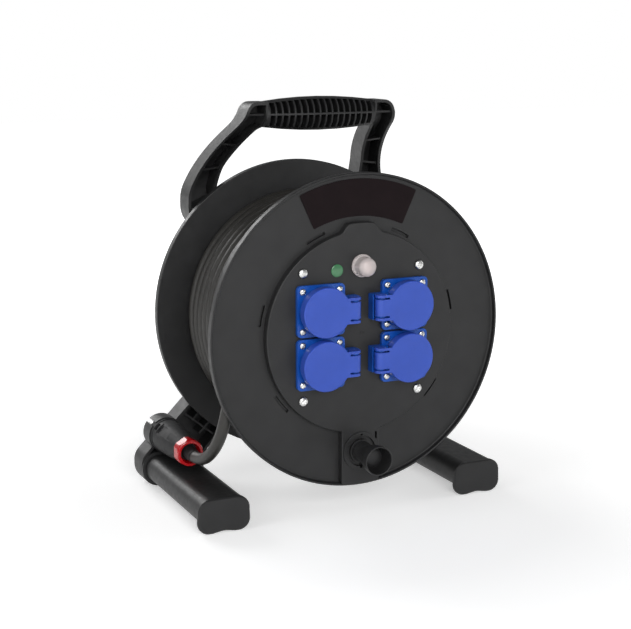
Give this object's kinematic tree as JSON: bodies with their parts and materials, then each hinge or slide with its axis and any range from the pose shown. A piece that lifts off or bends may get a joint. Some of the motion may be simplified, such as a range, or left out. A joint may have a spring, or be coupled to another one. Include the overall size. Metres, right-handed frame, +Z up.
{
  "type": "extension cord reel",
  "caption": "Portable extension cord reel: cord drum with lidded sockets and a crank knob on a black carrying frame with tubular feet, its plug parked in a clip.",
  "frame": {"origin": "centre of the bounding box's base, on the floor under the drum", "axes": "+Z up, -Y towards the sockets and the crank knob, +X to the right seen from the sockets' side"},
  "size_m": [0.34, 0.239, 0.4085],
  "materials": {
    "black_plastic": "fine-grained satin",
    "cord_rubber": "matt",
    "plug_rubber": "matt",
    "red_plastic": "satin",
    "steel": "bright",
    "label_film": "satin",
    "bronze": "sintered",
    "grey_plastic": "matt",
    "green_lens": "translucent",
    "clear_boot": "translucent",
    "white_plastic": "satin",
    "blue_plastic": "satin",
    "lid_blue": "satin"
  },
  "bodies": {
    "stand": {"carrying_frame": "black_plastic", "foot_tube_left": "black_plastic", "foot_tube_right": "black_plastic", "foot_cap_left": "black_plastic", "foot_cap_right": "black_plastic", "tube_screw_left": "steel", "tube_screw_right": "steel", "axle": "steel", "axle_nut": "steel", "axle_washer": "steel", "plug_body": "plug_rubber", "plug_contact_carrier": "plug_rubber", "plug_pin_1": "steel", "plug_pin_2": "steel", "plug_screw": "steel", "gland_nut": "red_plastic", "gland_insert": "plug_rubber", "free_cord": "cord_rubber"},
    "drum": {"front_flange": "black_plastic", "rear_flange": "black_plastic", "drum_barrel": "black_plastic", "hub_bush": "bronze", "socket_panel": "black_plastic", "contact_chamber": "grey_plastic", "chamber_gland": "grey_plastic", "label_plate": "label_film", "panel_screw_1": "steel", "panel_screw_2": "steel", "panel_screw_3": "steel", "panel_screw_4": "steel", "socket_base_1": "blue_plastic", "socket_base_2": "blue_plastic", "socket_base_3": "blue_plastic", "socket_base_4": "blue_plastic", "socket_insert_1": "blue_plastic", "socket_insert_2": "blue_plastic", "socket_insert_3": "blue_plastic", "socket_insert_4": "blue_plastic", "lid_pin_1": "steel", "lid_pin_2": "steel", "lid_pin_3": "steel", "lid_pin_4": "steel", "pilot_lamp": "green_lens", "thermal_breaker": "grey_plastic", "button_boot": "clear_boot", "knob_seat": "black_plastic", "knob_axle": "steel", "cord_inner_layers": "cord_rubber", "cord_winding": "cord_rubber"},
    "knob": {"crank_knob": "black_plastic"},
    "button": {"reset_button": "white_plastic"},
    "lid_1": {"socket_lid_1": "lid_blue"},
    "lid_2": {"socket_lid_2": "lid_blue"},
    "lid_3": {"socket_lid_3": "lid_blue"},
    "lid_4": {"socket_lid_4": "lid_blue"}
  },
  "joints": [
    {"name": "drum_spin", "type": "hinge", "parent": "stand", "child": "drum", "pos_m": [0, 0.0035, 0.1857], "axis": [0, 1, 0], "continuous": true},
    {"name": "crank_knob_spin", "type": "hinge", "parent": "drum", "child": "knob", "pos_m": [0, -0.0965, 0.0667], "axis": [0, 1, 0], "continuous": true},
    {"name": "reset_button_press", "type": "slide", "parent": "drum", "child": "button", "axis": [0, 1, 0], "range_m": [0, 0.0025], "stiffness_N_per_m": 300, "springref_m": -0.001},
    {"name": "socket_lid_1_hinge", "type": "hinge", "parent": "drum", "child": "lid_1", "pos_m": [-0.014, -0.0925, 0.2117], "axis": [0, 0, 1], "range_deg": [0, 95], "stiffness_Nm_per_rad": 0.012, "springref_deg": -20.05},
    {"name": "socket_lid_2_hinge", "type": "hinge", "parent": "drum", "child": "lid_2", "pos_m": [-0.014, -0.0925, 0.1597], "axis": [0, 0, 1], "range_deg": [0, 95], "stiffness_Nm_per_rad": 0.012, "springref_deg": -20.05},
    {"name": "socket_lid_3_hinge", "type": "hinge", "parent": "drum", "child": "lid_3", "pos_m": [0.014, -0.0925, 0.2117], "axis": [0, 0, -1], "range_deg": [0, 95], "stiffness_Nm_per_rad": 0.012, "springref_deg": -20.05},
    {"name": "socket_lid_4_hinge", "type": "hinge", "parent": "drum", "child": "lid_4", "pos_m": [0.014, -0.0925, 0.1597], "axis": [0, 0, -1], "range_deg": [0, 95], "stiffness_Nm_per_rad": 0.012, "springref_deg": -20.05}
  ]
}
